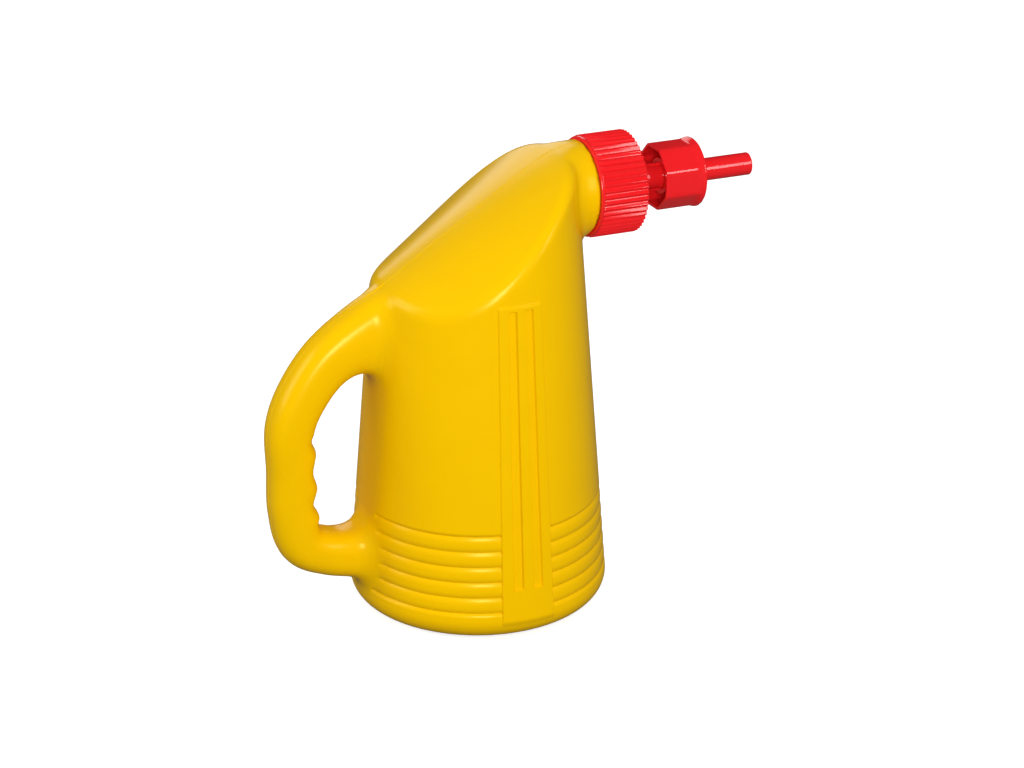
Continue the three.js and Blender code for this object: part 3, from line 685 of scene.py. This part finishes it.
def jug_mouth():
    front, radius, bore = MOUTH_FRONT, MOUTH_RADIUS, MOUTH_BORE
    angles = np.linspace(0, 2 * math.pi, THREAD_COLUMNS, endpoint=False)
    places = np.arange(NECK_REACH + 1, front - 1, THREAD_ROW_STEP)
    end = [
        (front - 0.6, radius), (front - 0.2, radius - 0.2), (front, radius - 0.6),
        (front, bore + 0.3), (front - 0.3, bore), (MOUTH_REAR, bore),
    ]
    rings = [around_neck(MOUTH_REAR, radius, angles)]
    rings += screw_rings(places, radius, THREAD_HEIGHT, THREAD_REAR, MOUTH_TURNS)
    rings += [around_neck(place, size, angles) for place, size in end]
    return loft("jug_mouth", rings, "jug")


def seam_course():
    """The parting line's first guess: along the roof, then down the handle's back."""
    roof = np.linspace(NECK_REACH - 2, SEAM_REAR, SEAM_ROOF_POINTS)
    along = unit(np.gradient(COURSE[:, :2], axis=0))
    outward = np.stack([along[:, 1], -along[:, 0]], axis=1)
    back = COURSE[:, :2] + outward * COURSE[:, 2:3] / 2
    path = [np.stack([roof, ridge(roof)[0]], axis=1), back[SEAM_BACK_START::SEAM_BACK_STEP]]
    return np.vstack(path).T


def parting_line(passes=6):
    """The fine raised seam that the mould leaves over the roof and down the handle's back."""
    x, z = seam_course()
    for _ in range(passes):
        value = jug_field(x, 0 * x, z)
        slope = slope_of(jug_field, x, 0 * x, z)
        size = np.maximum((slope[:, [0, 2]] ** 2).sum(axis=1), 1e-3)
        x = x - value * slope[:, 0] / size
        z = z - value * slope[:, 2] / size
    normal = unit(slope_of(jug_field, x, 0 * x, z))
    middle = np.stack([x, 0 * x, z], axis=1)
    rows = [middle + normal * up + np.array([0, across, 0]) for across, up in SEAM_SECTION]
    points = np.stack(rows, axis=1).reshape(-1, 3)
    faces = loft_faces(len(middle), len(SEAM_SECTION), False)
    return mesh_object("jug_seam", points, faces, "jug", sharp=80)


# Cap

def toothed(place, radius, amount):
    """A ring with gripping teeth: amount is their share of full height above radius."""
    share = np.array(TOOTH_SHARES)
    angles = (np.arange(TOOTH_COUNT)[:, None] + share) * (2 * math.pi / TOOTH_COUNT)
    heights = np.broadcast_to(np.array(TOOTH_LEVELS) * TOOTH_HEIGHT * amount, angles.shape)
    return around_neck(place, radius + heights.ravel(), angles.ravel())


def skirt_outline():
    """The cap's rim and teeth as rows of place, radius and the teeth's amount."""
    rim = CAP_RADIUS + TOOTH_HEIGHT / 2
    rear, front, radius = CAP_REAR, CAP_FRONT, CAP_RADIUS
    lip = rear + CAP_LIP
    return [
        (rear, rim - 0.35, 0), (rear + 0.12, rim - 0.12, 0), (rear + 0.35, rim, 0),
        (lip - 0.25, rim, 0), (lip, radius, 0.9), (lip + 0.3, radius, 1),
        (front - 0.7, radius, 1), (front - 0.45, radius, 1), (front - 0.12, radius - 0.12, 0.9),
        (front, radius - 0.45, 0.7), (front, radius - 1.2, 0), (front, FACE_RING, 0),
    ]


def stem_outline():
    """The stem's outside with its root fillet, collar and ring groove, as place and radius."""
    front, stem, collar = CAP_FRONT, STEM_RADIUS, COLLAR_RADIUS
    return [
        (front, stem + 0.9), (front + 0.25, stem + 0.3), (front + 0.8, stem),
        (COLLAR_REAR, stem), (COLLAR_REAR, collar - 0.2), (COLLAR_REAR + 0.2, collar),
        (GROOVE_REAR, collar), (GROOVE_REAR, GROOVE_ROOT), (GROOVE_FRONT, GROOVE_ROOT),
        (GROOVE_FRONT, collar), (STEM_FRONT - 0.3, collar), (STEM_FRONT, collar - 0.3),
    ]


def cap_inner_outline():
    """Back through the valve's hole and the stem's bore to the skirt's inside."""
    plate = CAP_FRONT - CAP_PLATE
    return [
        (STEM_FRONT, VALVE_BORE), (VALVE_FACE, VALVE_BORE), (VALVE_FACE, STEM_BORE),
        (plate, STEM_BORE), (plate, CAP_BORE), (CAP_REAR + 0.3, CAP_BORE), (CAP_REAR, CAP_BORE + 0.3),
    ]


def cap_shell():
    rings = [toothed(*row) for row in skirt_outline()]
    rings += [toothed(place, radius, 0) for place, radius in stem_outline() + cap_inner_outline()]
    return loft("cap_shell", rings, "cap", sharp=28)


def cap_thread():
    """Inner skin of the skirt with its screw ridge, just proud of the plain bore."""
    start = THREAD_REAR + THREAD_PITCH / 2
    end = start + THREAD_PITCH * CAP_TURNS
    places = np.arange(start - CAP_THREAD_SPARE, end + CAP_THREAD_SPARE, CAP_ROW_STEP)
    rings = screw_rings(places, CAP_BORE + CAP_THREAD_PROUD, -THREAD_HEIGHT, start, CAP_TURNS)
    faces = [face[::-1] for face in loft_faces(len(rings), THREAD_COLUMNS, False)]
    return mesh_object("cap_thread", np.vstack(rings), faces, "cap")


def box_piece(name, low, high, body):
    """A box between two corners with its edges bevelled."""
    corners = list(itertools.product(*zip(low, high)))
    faces = [(0, 1, 3, 2), (4, 6, 7, 5), (0, 4, 5, 1), (2, 3, 7, 6), (0, 2, 6, 4), (1, 5, 7, 3)]
    piece = mesh_object(name, corners, faces, body, sharp=30)
    edge = piece.modifiers.new("edge", "BEVEL")
    edge.width = BOX_BEVEL / 1000
    edge.segments = 2
    return piece


def stem_key(name, side):
    """One of the two keys that keep the spout from turning, above (1) or below (-1) the stem."""
    ends = sorted([side * (STEM_RADIUS - KEY_ROOT), side * KEY_REACH])
    low = (CAP_FRONT - 0.5, -KEY_WIDTH / 2, NECK_HEIGHT + ends[0])
    high = (KEY_FRONT, KEY_WIDTH / 2, NECK_HEIGHT + ends[1])
    return box_piece(name, low, high, "cap")


def spring_line():
    """Angle and place of the wire's middle, with a flat closed end at either side."""
    share = np.linspace(0, 1, SPRING_TURNS * SPRING_SAMPLES + 1)
    closed = CLOSED_TURNS / SPRING_TURNS
    rise = np.clip((share - closed / 2) / (1 - closed), 0, 1)
    flat = 2 * WIRE_RADIUS * SPRING_TURNS * (share - rise * (1 - closed))
    span = SPRING_LENGTH - 2 * WIRE_RADIUS * (1 + CLOSED_TURNS)
    return 2 * math.pi * SPRING_TURNS * share, SPRING_REAR + WIRE_RADIUS + rise * span + flat


def spring():
    """Coil of wire, closed flat at both ends."""
    turn, place = spring_line()
    rows = []
    for side in np.arange(WIRE_SIDES) * (-2 * math.pi / WIRE_SIDES):
        radius = SPRING_RADIUS + WIRE_RADIUS * math.cos(side)
        rows.append(around_neck(place + WIRE_RADIUS * math.sin(side), radius, turn))
    points = np.stack(rows, axis=1).reshape(-1, 3)
    faces = loft_faces(len(turn), WIRE_SIDES, False)
    faces += [list(range(WIRE_SIDES))[::-1], list(range(len(points) - WIRE_SIDES, len(points)))]
    piece = mesh_object("spring_coil", points, faces, "cap")
    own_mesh(piece)
    return piece


# Spout, whose rings run from flats at the rear to circles at the flange

def spout_angles():
    """Angles of a spout ring, and how far each lies from the middle of its flat."""
    eighth = math.pi / 4
    corner = np.array(CORNER_SHARES) * eighth
    return (np.arange(8)[:, None] * eighth + corner).ravel(), np.tile(corner, 8)


def flat_ring(place, flats, roundness=0, radius=0):
    """A ring with eight rounded corners that turns into a circle as roundness goes to 1."""
    angles, off = spout_angles()
    sides = flats / np.cos(off)
    limit = flats / math.cos(math.pi / 8) - SLEEVE_CORNER
    sides = -parabolic_max(-sides, np.full_like(sides, -limit), SLEEVE_CORNER)
    return around_neck(place, sides + (radius - sides) * roundness, angles)


def round_ring(place, radius):
    return flat_ring(place, SLEEVE_FLATS, 1, radius)


def sleeve_rings():
    """Flats from the sleeve's rear to the flange, which they swell into."""
    root = FLANGE_FRONT - FLARE_LENGTH
    rings = [flat_ring(place, SLEEVE_FLATS) for place in (SLEEVE_REAR + SLEEVE_BEVEL, root - 0.3, root)]
    flare = [(3.9, 0.12, 0.0), (3.0, 0.34, 0.1), (2.2, 0.62, 0.1), (1.6, 0.86, 0.0), (1.1, 1, 0)]
    for left, roundness, swell in flare:
        rings.append(flat_ring(FLANGE_FRONT - left, SLEEVE_FLATS + swell, roundness, FLANGE_RADIUS))
    return rings


def nozzle_outline():
    """Flange's front, fillet, nozzle and its tip, as place and radius."""
    front, tip, radius = FLANGE_FRONT, NOZZLE_FRONT, NOZZLE_RADIUS
    outline = [
        (front - 0.35, FLANGE_RADIUS), (front - 0.1, FLANGE_RADIUS - 0.1),
        (front, FLANGE_RADIUS - 0.35), (front, FACE_RING),
    ]
    for turn in np.linspace(0, math.pi / 2, 5):
        rise, run = NOZZLE_FILLET * (1 - math.cos(turn)), NOZZLE_FILLET * (1 - math.sin(turn))
        outline.append((front + rise, radius + run))
    return outline + [
        (front + NOZZLE_FILLET + 0.1, radius), (tip - 0.6, radius), (tip - 0.3, radius),
        (tip - 0.08, radius - 0.08), (tip, radius - 0.3), (tip, NOZZLE_BORE + 0.2), (tip - 0.2, NOZZLE_BORE),
    ]


def guide_outline():
    """The nozzle's bore, then round the guide with its lip, as place and radius."""
    return [
        (CHAMBER_FRONT, NOZZLE_BORE), (CHAMBER_FRONT, GUIDE_BORE), (GUIDE_LIP_FRONT, GUIDE_BORE),
        (GUIDE_LIP_FRONT, LIP_BORE), (GUIDE_REAR, LIP_BORE), (GUIDE_REAR, GUIDE_RADIUS),
        (CHAMBER_FRONT - GUIDE_FILLET, GUIDE_RADIUS), (CHAMBER_FRONT, GUIDE_RADIUS + GUIDE_FILLET),
    ]


def spout_shell():
    """Eight-sided sleeve, round flange, nozzle tube and the guide inside, as one closed skin."""
    inner = SLEEVE_FLATS - SLEEVE_WALL
    rings = sleeve_rings()
    rings += [round_ring(place, radius) for place, radius in nozzle_outline() + guide_outline()]
    chamber = [
        (CHAMBER_FRONT, inner), (SLEEVE_REAR + SLEEVE_BEVEL, inner),
        (SLEEVE_REAR, inner + SLEEVE_BEVEL), (SLEEVE_REAR, SLEEVE_FLATS - SLEEVE_BEVEL),
    ]
    rings += [flat_ring(place, flats) for place, flats in chamber]
    return loft("spout_shell", rings, "spout", sharp=24)


def spout_web():
    """The bar across the nozzle's bore that pushes the valve's pin."""
    reach = NOZZLE_BORE + WEB_ROOT
    low = (CHAMBER_FRONT, -NOZZLE_BORE / 4, NECK_HEIGHT - reach)
    high = (CHAMBER_FRONT + WEB_THICKNESS, NOZZLE_BORE / 4, NECK_HEIGHT + reach)
    return box_piece("spout_web", low, high, "spout")


# Materials

def noise_bump(tree, shader, scale, distance):
    """A faint bump from noise, which is returned to mix the colours with."""
    place = tree.nodes.new("ShaderNodeTexCoord")
    noise = tree.nodes.new("ShaderNodeTexNoise")
    noise.inputs["Scale"].default_value = scale
    noise.inputs["Detail"].default_value = 3
    bump = tree.nodes.new("ShaderNodeBump")
    bump.inputs["Distance"].default_value = distance
    bump.inputs["Strength"].default_value = 0.5
    tree.links.new(place.outputs["Object"], noise.inputs["Vector"])
    tree.links.new(noise.outputs["Fac"], bump.inputs["Height"])
    tree.links.new(bump.outputs["Normal"], shader.inputs["Normal"])
    return noise


def material(name, dark, light, roughness, scale, bump, specular=0.5, tint=(1, 1, 1), metallic=0.0):
    """Two close colours mixed by noise, with a faint bump of the same pattern."""
    made = bpy.data.materials.new(name)
    made.use_nodes = True
    tree = made.node_tree
    shader = tree.nodes["Principled BSDF"]
    noise = noise_bump(tree, shader, scale, bump)
    mix = tree.nodes.new("ShaderNodeMix")
    mix.data_type = "RGBA"
    mix.inputs[6].default_value = (*dark, 1)
    mix.inputs[7].default_value = (*light, 1)
    tree.links.new(noise.outputs["Fac"], mix.inputs[0])
    tree.links.new(mix.outputs[2], shader.inputs["Base Color"])
    shader.inputs["Roughness"].default_value = roughness
    shader.inputs["Specular IOR Level"].default_value = specular
    shader.inputs["Specular Tint"].default_value = (*tint, 1)
    shader.inputs["Metallic"].default_value = metallic
    return made


SHEEN = (1, 0.9, 0.3)
YELLOW = material("jug_plastic", (0.92, 0.53, 0.0), (0.96, 0.56, 0.0), 0.24, 60, 0.00005, 0.25, SHEEN)
RED = material("cap_plastic", (0.88, 0.012, 0.016), (0.92, 0.016, 0.02), 0.14, 90, 0.00003, 0.55)
WHITE = material("valve_plastic", (0.76, 0.74, 0.68), (0.82, 0.8, 0.74), 0.4, 150, 0.00004)
RUBBER = material("washer_rubber", (0.016, 0.016, 0.018), (0.03, 0.03, 0.034), 0.7, 300, 0.00008)
STEEL = material("spring_steel", (0.48, 0.49, 0.5), (0.6, 0.61, 0.62), 0.3, 400, 0.00002, metallic=1.0)

NODE_FINISHES = {
    "jug_body": YELLOW, "screw_cap": RED, "spout": RED, "spring_seat": WHITE, "valve_pin": WHITE,
    "return_spring": STEEL, "cap_washer": RUBBER, "valve_seal": RUBBER, "stem_ring": RUBBER,
}


def paint(piece, finish):
    piece.data.materials.clear()
    piece.data.materials.append(finish)


# Assembly

for piece in (jug_skin(), jug_inside(), jug_mouth(), parting_line()):
    paint(piece, YELLOW)
    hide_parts("jug_body")
for piece in (cap_shell(), cap_thread()):
    paint(piece, RED)
    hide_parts("screw_cap")
for piece in (stem_key("stem_key_lower", -1), stem_key("stem_key_upper", 1)):
    paint(piece, RED)
shell = spout_shell()
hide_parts("spout")
for piece in (shell, spout_web()):
    paint(piece, RED)
coil = spring()
paint(coil, STEEL)
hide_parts("return_spring")
for name, finish in NODE_FINISHES.items():
    paint(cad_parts[name], finish)


# Camera

def look_from(place, direction, roll, lens):
    camera = bpy.data.cameras.new("camera")
    camera.lens = lens
    camera.sensor_width = 36
    camera.clip_end = 20
    holder = bpy.data.objects.new("camera", camera)
    bpy.context.scene.collection.objects.link(holder)
    back = -Vector(direction).normalized()
    right = Vector((0, 0, 1)).cross(back).normalized()
    tilt = Matrix.Rotation(math.radians(roll), 3, back)
    axes = [tilt @ right, tilt @ back.cross(right), back]
    holder.matrix_world = Matrix.Translation(place) @ Matrix(axes).transposed().to_4x4()
    bpy.context.scene.camera = holder


# Floor, world and lights

def area_light(name, place, target, size, power):
    light = bpy.data.lights.new(name, "AREA")
    light.shape = "RECTANGLE"
    light.size, light.size_y = size
    light.energy = power
    holder = bpy.data.objects.new(name, light)
    holder.location = place
    holder.rotation_euler = (Vector(target) - Vector(place)).to_track_quat("-Z", "Y").to_euler()
    bpy.context.scene.collection.objects.link(holder)


def number_mix(tree, factor, full):
    """A number that is full at factor 1; its input 2 says what it is at factor 0."""
    mix = tree.nodes.new("ShaderNodeMix")
    mix.data_type = "FLOAT"
    mix.inputs[3].default_value = full
    tree.links.new(factor, mix.inputs[0])
    return mix


def floor_material():
    """Grey for the camera and darker for other rays, lifted by a glow that only the camera sees."""
    made = bpy.data.materials.new("floor")
    made.use_nodes = True
    tree = made.node_tree
    tree.nodes.clear()
    out = tree.nodes.new("ShaderNodeOutputMaterial")
    diffuse = tree.nodes.new("ShaderNodeBsdfDiffuse")
    glow = tree.nodes.new("ShaderNodeEmission")
    add = tree.nodes.new("ShaderNodeAddShader")
    seen = tree.nodes.new("ShaderNodeLightPath").outputs["Is Camera Ray"]
    grey = number_mix(tree, seen, FLOOR_GREY)
    grey.inputs[2].default_value = FLOOR_BOUNCE
    lift = number_mix(tree, seen, FLOOR_LIFT)
    lift.inputs[2].default_value = 0
    tree.links.new(grey.outputs[0], diffuse.inputs["Color"])
    tree.links.new(lift.outputs[0], glow.inputs["Strength"])
    tree.links.new(diffuse.outputs[0], add.inputs[0])
    tree.links.new(glow.outputs[0], add.inputs[1])
    tree.links.new(add.outputs[0], out.inputs["Surface"])
    return made


def floor():
    mesh = bpy.data.meshes.new("floor")
    reach = FLOOR_HALF_SIZE
    corners = [(-reach, -reach, 0), (reach, -reach, 0), (reach, reach, 0), (-reach, reach, 0)]
    mesh.from_pydata(corners, [], [(0, 1, 2, 3)])
    mesh.materials.append(floor_material())
    plane = bpy.data.objects.new("floor", mesh)
    bpy.context.scene.collection.objects.link(plane)


def white_world():
    """White where the camera sees it, a plainer grey as light, and darker in reflections."""
    world = bpy.data.worlds.new("world")
    world.use_nodes = True
    bpy.context.scene.world = world
    tree = world.node_tree
    background = tree.nodes["Background"]
    background.inputs["Color"].default_value = (1, 1, 1, 1)
    path = tree.nodes.new("ShaderNodeLightPath")
    mirrored = number_mix(tree, path.outputs["Is Glossy Ray"], MIRROR_LEVEL)
    mirrored.inputs[2].default_value = WORLD_LEVEL
    seen = number_mix(tree, path.outputs["Is Camera Ray"], WHITE_LEVEL)
    tree.links.new(mirrored.outputs[0], seen.inputs[2])
    tree.links.new(seen.outputs[0], background.inputs["Strength"])


look_from((CAMERA_X + shift / 1000, CAMERA_Y, CAMERA_Z), CAMERA_DIRECTION, CAMERA_ROLL, CAMERA_LENS)
floor()
white_world()
for row in LIGHTS:
    area_light(*row)
bpy.context.scene.view_settings.view_transform = "Standard"
